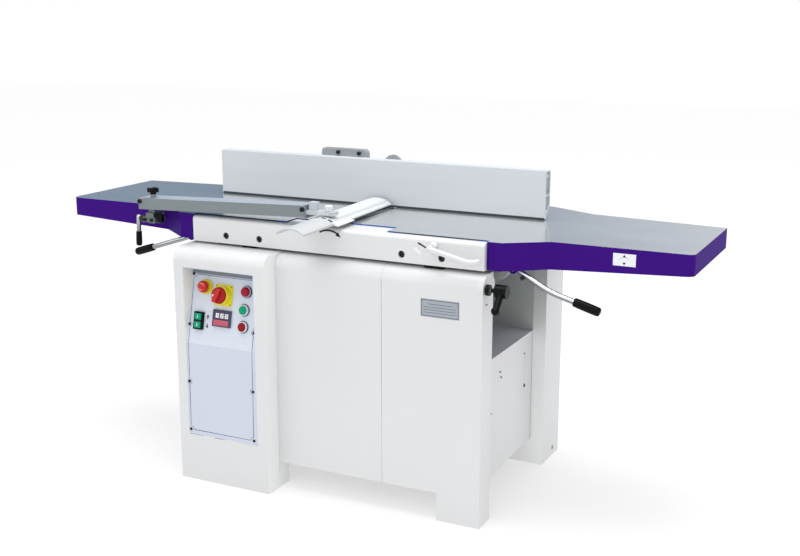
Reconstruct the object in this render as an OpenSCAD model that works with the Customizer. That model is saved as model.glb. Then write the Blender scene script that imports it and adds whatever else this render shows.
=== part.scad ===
// Combination planer thicknesser: a floor-standing woodworking machine.
// Frame: origin on the floor, at the centre of the four floor bolts; +X runs along
// the tables towards the infeed end, +Y to the rear (fence side), +Z up. Millimetres.

/* [Tables] */
// Reach of the infeed table from the cutterblock axis
infeed_reach = 1053.5; // [1040:0.5:1070]
// Reach of the outfeed table from the cutterblock axis
outfeed_reach = 1064; // [1050:0.5:1080]
// Thickness of the ground table plate
plate_t = 18; // [16:0.5:20]
// Height of the lip at the far end of each table
end_lip = 60; // [50:1:65]
// Front edge of the narrow table extension
ext_front = -221; // [-226:1:-216]
// Rear edge of the narrow table extension at its far end
ext_rear = 203; // [195:1:215]
// Width of the longitudinal ribs under the tables
rib_t = 10; // [6:1:16]

/* [Cabinet] */
// Sheet thickness of the cabinet
sheet = 3; // [2:0.5:4]
// Radius of the rounded top edge of the cabinet front
top_r = 45; // [35:1:50]
// Clearance under the cabinet panels
under = 86; // [70:1:100]
// Height of the deck over the motor space
deck_z = 460; // [450:1:470]
// Radius of the floor bolt holes
anchor_r = 7; // [5:0.5:9]
// Width of the feet along the tables
foot_w = 138; // [120:1:150]

/* [Cutterblock] */
// Radius of the cutterblock body
cutter_r = 37.5; // [35:0.5:38]
// Radius of the circle that the knife tips cut
tip_r = 38.5; // [38.2:0.1:39]
// Radius of the feed rollers
roller_r = 25; // [20:1:25]

/* [Fence] */
// Length of the fence
fence_l = 1186; // [1100:1:1200]
// Height of the fence above the table
fence_h = 151; // [140:1:160]

/* [Guard] */
// Length of the bridge guard
guard_l = 588; // [520:1:590]
// Radius of the arched guard profile
guard_r = 82; // [80:1:86]

/* [Hidden] */
$fn = 56;
zt = 850;            // table top
cz = zt - tip_r;     // cutterblock axis height
rz = 797;            // feed roller axis height
rx = 80;             // feed roller axis, each side
pf = -402.6;         // control pillar front
mf = -340;           // main front panel
bf = -314;           // front rail face
tilt_y = 392; tilt_z = 795;      // hinge line of the tables
fp_y = 108; fp_z = 862;          // fence tilt pin
kink_z = 456;                    // kink of the control plate
lean = atan(52/241);             // lean of the upper control plate
plate_top = -396 + (700 - kink_z)*52/241;
arm_a = 2.05;                    // rise of the guard arm
guard_a = 2.3;                   // turn of the guard on its holder
ga_x = -665; ga_z = 834;         // guard arm pivot
thick_z = 640;                   // thicknessing table top
white = [0.93, 0.93, 0.90];
violet = [0.24, 0.10, 0.49];
black = [0.06, 0.06, 0.07];
steel = [0.70, 0.72, 0.75];
alu = [0.80, 0.82, 0.84];

// ---- helpers -------------------------------------------------------------
module box(x0, x1, y0, y1, z0, z1) translate([x0, y0, z0]) cube([x1 - x0, y1 - y0, z1 - z0]);
module xcyl(y, z, x0, x1, r) translate([x0, y, z]) rotate([0, 90, 0]) cylinder(r = r, h = x1 - x0);
module ycyl(x, z, y0, y1, r) translate([x, y0, z]) rotate([-90, 0, 0]) cylinder(r = r, h = y1 - y0);
module zcyl(x, y, z0, z1, r) translate([x, y, z0]) cylinder(r = r, h = z1 - z0);
// a (y, z) outline run along X, and an (x, z) outline run along Y
module xprism(x0, x1) translate([x0, 0, 0]) rotate([90, 0, 90]) linear_extrude(x1 - x0) children();
module yprism(y0, y1) translate([0, y1, 0]) rotate([90, 0, 0]) linear_extrude(y1 - y0) children();
// a round bar from p to q
module rod(p, q, r) {
  d = q - p; l = norm(d);
  translate(p) rotate([0, acos(d[2]/l), atan2(d[1], d[0])]) cylinder(r = r, h = l);
}
// a bend in a bar: a little fatter than the bar itself
module ball(p, r) translate(p) sphere(r = r + 0.7);
// (y, z) outline with a rounded top front edge
module front_round(y0, y1, z0, z1, r) {
  translate([y0 + r, z0]) square([y1 - y0 - r, z1 - z0]);
  translate([y0, z0]) square([y1 - y0, z1 - z0 - r]);
  translate([y0 + r, z1 - r]) circle(r = r);
}
// places things on the leaning upper control plate: x, distance up the plate
module on_plate(x, t) translate([x, -396, kink_z]) rotate([-lean, 0, 0]) translate([0, 0, t]) children();
module disc(r, n0, n1) translate([0, n0, 0]) rotate([-90, 0, 0]) cylinder(r = r, h = n1 - n0);
module pad(w, h, n0, n1) translate([-w/2, n0, -h/2]) cube([w, n1 - n0, h]);
// closed band round two wheels, as (x, z) points
function arc_pts(c, r, a0, a1, n) = [for (i = [0:n]) let (a = a0 + (a1 - a0)*i/n) [c[0] + r*cos(a), c[1] + r*sin(a)]];
function band(c1, r1, c2, r2) = let (d = norm(c2 - c1), w = atan2(c2[1] - c1[1], c2[0] - c1[0]), b = acos((r1 - r2)/d))
  concat(arc_pts(c1, r1, w + b, w + 360 - b, 40), arc_pts(c2, r2, w - b, w + b, 28));
module loop(c1, r1, c2, r2, t, y0, y1) yprism(y0, y1) difference() {
  polygon(band(c1, r1 + t, c2, r2 + t));
  polygon(band(c1, r1, c2, r2));
}

// ---- cabinet ---------------------------------------------------------------
module control_pillar() color(white) difference() {
  xprism(-515, -183) front_round(pf, -283, 0, 760, top_r);
  xprism(-515 + sheet, -183 - sheet) front_round(pf + sheet, -270, 6, 760 - sheet, top_r - sheet);
  box(-482, -220, pf - 5, -390, 152, 701);
  zcyl(-448, -302, -1, 8, anchor_r);
}
module front_panel() color(white) difference() {
  xprism(-182.5, 181) front_round(mf, -270, under, 758, top_r);
  xprism(-184, 183) front_round(mf + sheet, -260, under + sheet, 758 - sheet, top_r - sheet);
}
module right_front_panel() color(white) difference() {
  union() {
    xprism(182, 500) front_round(mf, -262.5, under, 758, top_r);
    box(500 - foot_w, 500, mf, -262.5, 0, under + 10);
  }
  xprism(181, 500 - sheet) front_round(mf + sheet, -250, under + sheet, 758 - sheet, top_r - sheet);
  box(500 - foot_w + sheet, 500 - sheet, mf + sheet, -250, 6, under + 12);
  xcyl(-320, 717, 490, 510, 6.05);
  zcyl(448, -302, -1, 8, anchor_r);
}
module side_panels() color(white) {
  box(456 - sheet, 456, -262, 203, under, deck_z - sheet);
  box(430, 456 - sheet, -262, 203, under, under + sheet);
  box(-471, -471 + sheet, -283, 203, under, deck_z - sheet);
  box(-471 + sheet, -445, -283, 203, under, under + sheet);
}
module rear_panel() color(white) difference() {
  union() {
    box(-471, 456, 361, 364, under, 758);
    box(-471, 456, 325, 361, 755, 758);
  }
  ycyl(230, 640, 350, 370, 59.2);
}
// a post open to the inside, on a wide foot; built for the right, mirrored about mid for the left
module rear_post(x0, x1) difference() {
  union() {
    box(x0, x1, 203, 364, 0, 760);
    box(x1 - foot_w, x1, 203, 364, 0, under - 2);
  }
  box(x0 - 1, x1 - sheet, 206, 361, 6, 757);
  box(x1 - foot_w + sheet, x1 - sheet, 206, 361, 6, under);
  zcyl(448, 302, -1, 8, anchor_r);
}
module rear_posts() color(white) {
  rear_post(456, 500);
  mirror([1, 0, 0]) rear_post(471, 515);
}
module inner_deck() color(white) {
  difference() {
    box(-468, 456, -262, 203, deck_z - sheet, deck_z);
    zcyl(0, -9, deck_z - 10, deck_z + 10, 75.2);
  }
  for (x = [112, 236]) box(x, x + 12, -60, 120, 341, deck_z - sheet);
}
module cheek(y0, y1, yt0, yt1, top, duct) difference() {
  union() {
    box(-468, 453, y0, y1, deck_z, 756);
    box(-150, 150, yt0, yt1, 750, 824);
    box(-50, 50, yt0, yt1, 820, top);
  }
  ycyl(0, cz, yt0 - 1, yt1 + 1, 24);
  for (s = [-1, 1]) ycyl(s*rx, rz, yt0 - 1, yt1 + 1, 12.05);
  ycyl(-130, 800, yt0 - 1, yt1 + 1, 6.05);
  if (duct) { ycyl(230, 640, y0 - 1, y1 + 1, 57); ycyl(0, 650, y0 - 1, y1 + 1, 10.05); }
}
module front_cheek() color([0.85, 0.86, 0.84]) cheek(-229, -221, -245, -221, 838, false);
module rear_cheek() color([0.85, 0.86, 0.84]) cheek(203, 211, 203, 227, 838, true);
module cutterblock_bearings() color(steel) for (y = [-243, 205]) difference() {
  ycyl(0, cz, y, y + 20, 24);
  ycyl(0, cz, y - 1, y + 21, 15.09);
}
module rest_pads() color(black) {
  box(-322, -274, -306, -288, 760, 768);
  box(302, 362, -306, -288, 758, 768);
  for (x = [-300, 300]) box(x - 24, x + 24, 330, 346, 758, 775);
}
module hinge_brackets() color(steel) for (x = [-360, 360]) {
  difference() {
    union() {
      box(x - 34, x + 34, 364, 370, 690, 780);
      for (s = [-1, 1]) xprism(x + s*18 - 5, x + s*18 + 5) union() {
        polygon([[369, 700], [372, 700], [tilt_y + 13, 788], [tilt_y + 13, tilt_z], [tilt_y - 13, tilt_z], [369, 780]]);
        translate([tilt_y, tilt_z]) circle(r = 14);
      }
    }
    xcyl(tilt_y, tilt_z, x - 40, x + 40, 8.05);
  }
}
// leaning plate with its side walls, sunk into the pillar
module control_panel() color([0.86, 0.89, 0.95]) difference() {
  union() {
    xprism(-480, -222) polygon([[-400, 153], [-396, kink_z], [plate_top, 700], [plate_top + 3, 700], [-393, kink_z], [-397, 153]]);
    for (x = [-482, -222]) xprism(x, x + 2) polygon([[-402, 153], [-402, 700], [plate_top + 3, 700], [-393, kink_z], [-397, 153]]);
    box(-482, -220, -402, plate_top + 3, 699, 701);
  }
  on_plate(-423, 182) disc(8.06, -5, 12);
  on_plate(-356, 162) disc(5.3, -5, 12);
  for (p = [[-277, 124], [-276, 72]]) on_plate(p[0], p[1]) disc(13.6, -5, 12);
  for (s = [-1, 1]) on_plate(-438.7, 74 + s*13) pad(24, 20, -5, 12);
}
module control_backplates() color([0.95, 0.78, 0.12]) {
  on_plate(-423, 182) difference() { disc(23, -8, 0); disc(8.06, -9, 1); }
  on_plate(-356, 162) difference() { pad(64, 66, -4, 0); disc(5.3, -9, 1); }
}
module button_bezels() color(steel) {
  for (p = [[-273, 181.5], [-277, 124], [-276, 72]]) on_plate(p[0], p[1])
    difference() { disc(17.2, -8, 0); disc(13.6, -9, 1); }
}
module indicator_lamp() color([0.8, 0.1, 0.1]) on_plate(-273, 181.5) { disc(13.5, -10, 0); translate([0, -10, 0]) intersection() { scale(1) sphere(r = 13.4); disc(15, -8, 0); } }
module lift_switch_frame() color(black) on_plate(-438.7, 74) difference() {
  pad(33.6, 56, -10, 0);
  for (s = [-1, 1]) translate([0, 0, s*13]) pad(24, 20, -11, 1);
}
module thickness_readout() color([0.2, 0.17, 0.25]) on_plate(-354, 89.5) difference() {
  pad(66, 53, -8, 0);
  translate([0, 0, 7]) pad(50, 22, -9, -5);
}
module motor() color([0.55, 0.57, 0.6]) {
  ycyl(180, 250, -100, 172, 88);
  ycyl(180, 250, -118, -100, 80);
  ycyl(180, 250, 172, 190, 70);
  box(105, 255, -60, 120, 330, 341);
  box(262, 300, -20, 80, 215, 285);
}
module drive_belts() color(black) for (y = [249, 270])
  loop([180, 250], 45.4, [0, cz], 30.4, 5, y, y + 17);
module lift_sleeve() color([0.4, 0.42, 0.45]) difference() {
  union() {
    zcyl(0, -9, 195, deck_z + 12, 75);
    difference() { box(-105, 105, -114, 96, deck_z, deck_z + 12); }
  }
  zcyl(0, -9, 207, deck_z + 20, 60.06);
  zcyl(0, -9, 190, 210, 14.06);
}
module dust_outlet() color(white) difference() {
  union() {
    ycyl(230, 640, 211, 366, 59);
    ycyl(230, 640, 364, 367, 68);
    ycyl(230, 640, 366, 430, 60);
  }
  ycyl(230, 640, 205, 440, 57);
}
module feed_chains() color([0.3, 0.3, 0.32]) {
  loop([0, 650], 30.4, [rx, rz], 18.4, 5, 229.5, 234.5);
  loop([0, 650], 30.4, [-rx, rz], 18.4, 5, 238.5, 243.5);
}

// ---- cutterblock, feed and thicknessing ------------------------------------
module cutterblock() color(steel) difference() {
  union() {
    ycyl(0, cz, -215, 197, cutter_r);
    ycyl(0, cz, -255, 300, 15);
  }
  for (k = [0:3]) translate([0, 0, cz]) rotate([0, 45 + 90*k, 0]) box(-6, 6, -214, 196, 22, 60);
}
module knives() color([0.85, 0.86, 0.88]) for (k = [0:3])
  translate([0, 0, cz]) rotate([0, 45 + 90*k, 0]) box(-6, -3, -213, 195, 22, tip_r - 0.5);
module cutterblock_pulley() color([0.35, 0.36, 0.38]) difference() {
  union() {
    ycyl(0, cz, 245, 291, 30);
    ycyl(0, cz, 245, 248, 33);
    ycyl(0, cz, 288, 291, 33);
  }
  ycyl(0, cz, 240, 295, 15);
}
module motor_pulley() color([0.35, 0.36, 0.38]) {
  ycyl(180, 250, 190.5, 300, 14);
  ycyl(180, 250, 245, 291, 45);
  ycyl(180, 250, 245, 248, 48);
  ycyl(180, 250, 288, 291, 48);
}
module roller(x, sy) {
  ycyl(x, rz, -215, 197, roller_r);
  ycyl(x, rz, -243, sy + 6, 12);
  ycyl(x, rz, sy, sy + 6, 18);
}
module infeed_roller() color(steel) difference() {
  roller(-rx, 238);
  for (k = [0:11]) translate([-rx, 0, rz]) rotate([0, 30*k, 0]) box(-1.2, 1.2, -214, 196, roller_r - 2, roller_r + 5);
}
module outfeed_roller() color(steel) roller(rx, 229);
module feed_sprocket() color([0.35, 0.36, 0.38]) {
  ycyl(0, 650, 203.5, 246, 10);
  ycyl(0, 650, 229, 235, 30);
  ycyl(0, 650, 238, 244, 30);
}
module kickback_fingers() color([0.5, 0.5, 0.52]) {
  ycyl(-130, 800, -243, 225, 6);
  for (i = [0:15]) {
    ycyl(-130, 800, -204 + 25.4*i, -194 + 25.4*i, 11);
    yprism(-204 + 25.4*i, -194 + 25.4*i) polygon([[-140, 800], [-120, 800], [-124, 776], [-128, 768], [-137, 774]]);
  }
}
module thickness_table() color(steel) difference() {
  union() {
    box(-300, 300, -215, 197, thick_z - 20, thick_z);
    difference() {
      box(-300, 300, -215, 197, thick_z - 42, thick_z - 19);
      box(-286, 286, -201, 183, thick_z - 50, thick_z - 20);
    }
    for (x = [-150, 150]) box(x - 5, x + 5, -202, 184, thick_z - 40, thick_z - 19);
    zcyl(0, -9, 330, thick_z - 19, 60);
  }
  zcyl(0, -9, 349, thick_z - 40, 45);
  zcyl(0, -9, 320, 360, 14.4);
}
module lift_screw() color(alu) zcyl(0, -9, 195.5, 486, 14);

// ---- tilting table unit -----------------------------------------------------
module front_rail() color(white) difference() {
  union() {
    difference() {
      xprism(-498.4, 492.6) front_round(bf, -284, 768, zt - 3.5, 12);
      box(-492, 486, -308, -290, 774, 843);
    }
    box(-172, 172, -290, -222, 842, zt - 3.5);
  }
  for (x = [-375, -253, 234, 361]) ycyl(x, 792, bf - 5, -300, 10.5);
  // slanted slot of the depth pointer, through both walls
  yprism(bf - 5, -280) polygon([[285.9, 828.1], [288.1, 832.9], [313.1, 820.9], [310.9, 816.1]]);
  ycyl(340, 828, bf - 5, -300, 6.05);
}
module rear_rail() color(white) difference() {
  union() {
    box(-470, 470, 329, 347, 775, 845);
    box(-72, 72, 232, 347, 848, zt);
    box(-72, 72, 329, 347, 840, zt);
    for (x = [-360, 360]) {
      box(x - 12, x + 12, 340, tilt_y, 783, 809);
      xcyl(tilt_y, tilt_z, x - 12, x + 12, 14);
    }
    box(-247, -167, 346, 465, 800, 848);
    box(-247, -167, 415, 465, 847, 908);
  }
  for (x = [-360, 360]) xcyl(tilt_y, tilt_z, x - 20, x + 20, 8);
  ycyl(-207, 880, 400, 480, 20.06);
}
module hinge_pins() color(alu) for (x = [-360, 360]) xcyl(tilt_y, tilt_z, x - 26, x + 26, 8);

// plan of a table, as if on the infeed side: reach from the cutterblock, end of the front rail
function plan(l, e, c, d) = concat(
  [[22, -220], [173.5, -220], [173.5, -281.5], [e, -281.5], [e, -299], [e + c, -299], [e + d, ext_front]],
  arc_pts([l - 18, ext_front + 18], 18, -90, 0, 8),
  [[l, ext_rear], [630, ext_rear + 47], [470, 328], [75, 328], [75, 202], [22, 202]]);
function pocket(l, e, c, d) = [[100, -205], [188, -205], [188, -267], [e + 13, -267], [e + 13, -285], [e + c - 5, -285],
  [e + d - 4, ext_front + 14], [l - 14, ext_front + 14], [l - 14, ext_rear - 13], [627, ext_rear + 33], [466, 314], [100, 314]];
module table_casting(l, e, c, d) {
  difference() {
    intersection() {
      translate([0, 0, 760]) linear_extrude(zt - 760) polygon(plan(l, e, c, d));
      yprism(-400, 400) polygon([[22, zt], [22, zt - 5], [45, zt - plate_t], [100, zt - plate_t], [113, 769], [537, 769],
        [660, 771], [l, zt - end_lip], [l, zt]]);
    }
    translate([0, 0, 700]) linear_extrude(zt - plate_t - 700) polygon(pocket(l, e, c, d));
    box(0, 113, -330, 400, 700, zt - plate_t);
  }
  for (y = [-150, -9, 130]) box(165, l - 13, y - rib_t/2, y + rib_t/2, 796, zt - plate_t);
  for (x = [300, 640, 840]) box(x - rib_t/2, x + rib_t/2, -207, 192, 800, zt - plate_t);
}
// two plates under a table that carry a lock lever's pin
module lever_lugs(x, z) for (y = [-264, -231]) difference() {
  union() { box(x - 13, x + 13, y, y + 5, z, zt - plate_t); ycyl(x, z, y, y + 5, 13); }
  ycyl(x, z, y - 1, y + 6, 6.06);
}
module outfeed_table() color(violet) {
  difference() {
    mirror([1, 0, 0]) table_casting(outfeed_reach, 500, 58, 167);
    // slot that lets the casting rise past the kickback rod
    box(-139, -121, -222, -203, 750, 809);
  }
  for (x = [-230, -430]) { box(x - 15, x + 15, -284, -281, 790, 830); box(x - 15, x + 15, 327.5, 329, 790, 830); }
  lever_lugs(-545, 767);
}
module infeed_table() color(violet) {
  difference() {
    table_casting(infeed_reach, 494, 43, 160);
    // room for the hub of the lock lever
    ycyl(558, 770, -259, -231, 15.5);
    ycyl(558, 770, -267, -258, 7);
  }
  ycyl(291, 829.1, bf - 1.5, -281, 1.6);
  lever_lugs(558, 770);
}
// curved ribs that stiffen the infeed table over the cabinet opening
module infeed_braces() color([0.75, 0.76, 0.74]) for (y = [-185, -110, -35]) difference() {
  yprism(y - 6, y + 6) intersection() {
    union() {
      translate([440, 796]) circle(r = 96);
      translate([440, 790]) square([96, 6]);
    }
    translate([440, 690]) square([110, 106]);
  }
  ycyl(478, 756, y - 10, y + 10, 16);
}
module depth_lever() color(white) {
  ycyl(340, 828, bf - 2, -302, 6);
  ycyl(340, 828, -342, bf - 0.6, 11);
  rod([331, -346, 825], [453, -350, 797.4], 6.4);
  rod([443, -350.3, 800], [482, -338, 798.8], 6.5);
}
module left_lock_lever() color([0.8, 0.82, 0.85]) {
  ycyl(-545, 767, -258, -232, 13);
  ycyl(-545, 767, -266, -224, 6);
  rod([-545, -245, 767], [-722, -245, 709.9], 8);
}
module left_lever_grip() color(black) difference() {
  union() { rod([-713, -245, 712.8], [-778, -245, 691.8], 12.5); rod([-756, -245, 698.9], [-783, -245, 690.2], 9); }
  rod([-680, -245, 723.45], [-722.4, -245, 709.77], 8.05);
}
module right_lock_lever() color([0.8, 0.82, 0.85]) {
  ycyl(558, 770, -258, -232, 13);
  ycyl(558, 770, -266, -224, 6);
  // two straight bars that meet in a slightly thicker bend
  rod([558, -245, 770], [652.4, -245, 716.77], 8);
  rod([648, -245, 719.25], [684, -245, 705.3], 9.3);
  rod([679.2, -245, 706.64], [744, -245, 688.6], 8);
}
module right_lever_grip() color(black) difference() {
  union() { rod([734, -245, 691.5], [803, -245, 671.4], 13); rod([785, -245, 676.6], [809, -245, 669.6], 9.5); }
  rod([700, -245, 700.85], [744.4, -245, 688.49], 8.05);
}

// ---- fence --------------------------------------------------------------------
fx0 = -656.9; fx1 = fx0 + fence_l; ftop = zt + fence_h;
module fence() color(alu) difference() {
  union() {
    difference() {
      xprism(fx0, fx1) polygon([[80, 854], [84, 854], [122, 892], [122, ftop], [80, ftop]]);
      xprism(fx0 - 1, fx1 + 1) polygon([[84, 860.5], [118, 894], [118, 922], [84, 922]]);
      xprism(fx0 - 1, fx1 + 1) polygon([[84, 926], [118, 926], [118, ftop - 4], [84, ftop - 4]]);
    }
    for (x = [-245, -169]) xprism(x - 8, x + 8) union() {
      translate([fp_y, fp_z]) circle(r = 7.5);
      translate([fp_y, fp_z]) rotate(45) translate([-6, 0]) square([12, 12.5]);
    }
  }
  xcyl(fp_y, fp_z, -260, -150, 4.06);
}
module fence_backplate() color([0.6, 0.62, 0.64]) {
  box(-281, -109, 122, 146, 930, 1026);
  ycyl(-14, 985, 122, 138, 30);
}
module fence_carriage() color([0.6, 0.62, 0.64]) {
  for (x = [-270, -144]) {
    box(x - 10, x + 10, fp_y, 300, 856, 868);
    xcyl(fp_y, fp_z, x - 10, x + 10, 7.5);
  }
  xcyl(fp_y, fp_z, -276, -138, 4);
  box(-293, -121, 280, 330, 856, 906);
  ycyl(-207, 880, 329, 505, 20);
}

// ---- bridge guard --------------------------------------------------------------
module guard_bracket() color([0.25, 0.26, 0.28]) {
  difference() {
    union() {
      box(-692, -647, -318, -270, 811, 842);
      box(-692, -678, -275, ext_front, 811, 827);
      box(-650, -625, -318, -290, 812, 828);
      box(-692, -668, -291, -261, 802, 822);
    }
    box(-694, -600, -307, -293, 820, 850);
    box(-694, -680, -330, -210, 828, 850);
    box(-650, -600, -330, -210, 828, 850);
    xcyl(-276, 812, -700, -684, 6.05);
  }
  ycyl(ga_x, ga_z, -308, -292, 5);
}
// arm frame: local x runs up the arm from its pivot
module arm_frame() translate([ga_x, -300, ga_z]) rotate([0, -arm_a, 0]) children();
module guard_arm() color(alu) arm_frame() difference() {
  union() {
    difference() {
      box(-38, 578, -20, 45, 19.5, 55.5);
      box(-39, 570, -17, 42, 22.5, 52.5);
    }
    box(-11, 11, -6.5, 6.5, -6, 20);
    ycyl(0, 0, -6.5, 6.5, 9);
    zcyl(7, 0, 54, 66.5, 9);
  }
  ycyl(0, 0, -10, 10, 5.06);
  zcyl(7, 0, 50, 68, 4.06);
}
module guard_crank() color([0.8, 0.82, 0.85]) {
  xcyl(-276, 812, -740, -686, 6);
  xcyl(-276, 812, -734, -716, 11);
  rod([-743, -276, 819.5], [-743, -279, 760], 7.5);
  rod([-743, -278.5, 769], [-743, -280.7, 723], 9.5);
}
module guard_star_knob() color(black) arm_frame() translate([7, 0, 66.8]) {
  cylinder(r = 10, h = 20);
  translate([0, 0, -10]) cylinder(r = 4, h = 12);
  for (k = [0:3]) rotate([0, 0, 90*k + 20]) translate([13, 0, 6]) cylinder(r = 6, h = 14);
  translate([0, 0, 7]) cylinder(r = 13, h = 12);
}
// arched guard, turned a little on its holder
module arch(x, top, r, half) intersection() {
  difference() {
    translate([x, top - r]) circle(r = r, $fn = 120);
    translate([x, top - r]) circle(r = r - 4, $fn = 120);
  }
  translate([x - half, 863]) square([2*half, 30]);
}
module guard_bridge() color([0.92, 0.92, 0.9]) translate([-25, -300, 0]) rotate([0, 0, guard_a]) {
  yprism(-38, 362) arch(0, 882, guard_r, 50);
  // the narrower front blade
  yprism(362 - guard_l, -32) arch(5.5, 884, guard_r - 10, 44);
}
module guard_holder() color([0.9, 0.9, 0.88]) {
  arm_frame() box(578, 584, -20, 45, 18, 57);
  box(-86, 10, -318, -282, 884.5, 896);
  box(-75, -51, -311, -289, 894, 921);
  zcyl(-13, -300, 893, 912, 12);
}

// ---- controls ---------------------------------------------------------------
module estop_button() color([0.8, 0.08, 0.08]) on_plate(-423, 182) {
  disc(8, -22, 10);
  disc(19, -30, -17);
  disc(15, -34, -29);
}
module main_switch_knob() color([0.8, 0.08, 0.08]) on_plate(-356, 162) {
  disc(5, -10, 9);
  disc(26, -38, -4.6);
  rotate([0, 45, 0]) pad(50, 13, -50, -37);
}
module start_button() color([0.05, 0.6, 0.25]) on_plate(-277, 124) disc(13.52, -11.5, 8);
module stop_button() color([0.8, 0.08, 0.08]) on_plate(-276, 72) disc(13.52, -11.5, 8);
module up_button() color([0.05, 0.55, 0.2]) on_plate(-438.7, 87) pad(23.4, 19.4, -14, 8);
module down_button() color([0.05, 0.55, 0.2]) on_plate(-438.7, 61) pad(23.4, 19.4, -14, 8);
module lock_lever() color(black) {
  xcyl(-320, 717, 440, 540, 6);
  xcyl(-320, 717, 504, 514, 16);
  xcyl(-320, 717, 530, 566, 19);
  rod([548, -320, 717], [548, -364, 671], 10.5);
  ball([548, -364, 671], 11.8);
}

control_pillar();
front_panel();
right_front_panel();
side_panels();
rear_panel();
rear_posts();
inner_deck();
front_cheek();
rear_cheek();
cutterblock_bearings();
rest_pads();
hinge_brackets();
control_panel();
control_backplates();
button_bezels();
indicator_lamp();
lift_switch_frame();
thickness_readout();
motor();
drive_belts();
lift_sleeve();
dust_outlet();
feed_chains();
cutterblock();
knives();
cutterblock_pulley();
motor_pulley();
infeed_roller();
outfeed_roller();
feed_sprocket();
kickback_fingers();
thickness_table();
lift_screw();
front_rail();
rear_rail();
hinge_pins();
outfeed_table();
infeed_table();
infeed_braces();
depth_lever();
left_lock_lever();
left_lever_grip();
right_lock_lever();
right_lever_grip();
fence();
fence_backplate();
fence_carriage();
guard_bracket();
guard_arm();
guard_crank();
guard_star_knob();
guard_bridge();
guard_holder();
estop_button();
main_switch_knob();
start_button();
stop_button();
up_button();
down_button();
lock_lever();
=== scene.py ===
import math

import bmesh
import bpy
from mathutils import Matrix, Vector


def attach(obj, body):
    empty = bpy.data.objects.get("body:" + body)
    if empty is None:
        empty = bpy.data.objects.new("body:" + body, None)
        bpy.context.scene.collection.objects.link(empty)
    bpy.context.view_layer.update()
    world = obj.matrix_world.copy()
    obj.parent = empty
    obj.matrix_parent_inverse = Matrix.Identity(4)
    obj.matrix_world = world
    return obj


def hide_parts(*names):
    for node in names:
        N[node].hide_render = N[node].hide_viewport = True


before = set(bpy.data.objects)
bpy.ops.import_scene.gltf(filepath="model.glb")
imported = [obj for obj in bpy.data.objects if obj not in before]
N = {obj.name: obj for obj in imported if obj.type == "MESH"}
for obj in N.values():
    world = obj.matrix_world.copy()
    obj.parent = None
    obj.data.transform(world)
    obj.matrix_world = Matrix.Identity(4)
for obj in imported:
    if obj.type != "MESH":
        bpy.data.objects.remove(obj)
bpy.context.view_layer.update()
MM = 0.001


# ---- materials --------------------------------------------------------------
def srgb(r, g, b):
    out = []
    for c in (r, g, b):
        c = c / 255.0
        out.append(c / 12.92 if c <= 0.04045 else ((c + 0.055) / 1.055) ** 2.4)
    return (*out, 1.0)


def material(name, colour, rough=0.5, metal=0.0, coat=0.0, grain=None, mottle=None, spec=0.5, emit=0.0):
    """grain = (scale xyz, bump strength), mottle = (scale xyz, share of colour change, share of roughness change)"""
    m = bpy.data.materials.new(name)
    m.use_nodes = True
    t = m.node_tree
    b = t.nodes["Principled BSDF"]
    b.inputs["Base Color"].default_value = colour
    b.inputs["Roughness"].default_value = rough
    b.inputs["Metallic"].default_value = metal
    b.inputs["Coat Weight"].default_value = coat
    b.inputs["Coat Roughness"].default_value = 0.15
    b.inputs["Specular IOR Level"].default_value = spec
    if emit:
        b.inputs["Emission Color"].default_value = colour
        b.inputs["Emission Strength"].default_value = emit
    if not (grain or mottle):
        return m
    tc = t.nodes.new("ShaderNodeTexCoord")
    if mottle:
        mp = t.nodes.new("ShaderNodeMapping")
        mp.inputs["Scale"].default_value = mottle[0]
        t.links.new(tc.outputs["Object"], mp.inputs["Vector"])
        nz = t.nodes.new("ShaderNodeTexNoise")
        nz.inputs["Scale"].default_value = 1.0
        nz.inputs["Detail"].default_value = 6.0
        t.links.new(mp.outputs["Vector"], nz.inputs["Vector"])
        mr = t.nodes.new("ShaderNodeMapRange")
        mr.inputs["From Min"].default_value = 0.25
        mr.inputs["From Max"].default_value = 0.75
        mr.inputs["To Min"].default_value = 1.0 - mottle[1]
        mr.inputs["To Max"].default_value = 1.0 + mottle[1]
        t.links.new(nz.outputs["Fac"], mr.inputs["Value"])
        mx = t.nodes.new("ShaderNodeVectorMath")
        mx.operation = "SCALE"
        mx.inputs[0].default_value = colour[:3]
        t.links.new(mr.outputs["Result"], mx.inputs["Scale"])
        t.links.new(mx.outputs["Vector"], b.inputs["Base Color"])
        rr = t.nodes.new("ShaderNodeMapRange")
        rr.inputs["From Min"].default_value = 0.25
        rr.inputs["From Max"].default_value = 0.75
        rr.inputs["To Min"].default_value = max(0.02, rough * (1 - mottle[2]))
        rr.inputs["To Max"].default_value = min(1.0, rough * (1 + mottle[2]))
        t.links.new(nz.outputs["Fac"], rr.inputs["Value"])
        t.links.new(rr.outputs["Result"], b.inputs["Roughness"])
    if grain:
        gp = t.nodes.new("ShaderNodeMapping")
        gp.inputs["Scale"].default_value = grain[0]
        t.links.new(tc.outputs["Object"], gp.inputs["Vector"])
        gn = t.nodes.new("ShaderNodeTexNoise")
        gn.inputs["Scale"].default_value = 1.0
        gn.inputs["Detail"].default_value = 2.0
        t.links.new(gp.outputs["Vector"], gn.inputs["Vector"])
        bp = t.nodes.new("ShaderNodeBump")
        bp.inputs["Strength"].default_value = grain[1]
        bp.inputs["Distance"].default_value = 0.0006
        t.links.new(gn.outputs["Fac"], bp.inputs["Height"])
        t.links.new(bp.outputs["Normal"], b.inputs["Normal"])
    return m


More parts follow.
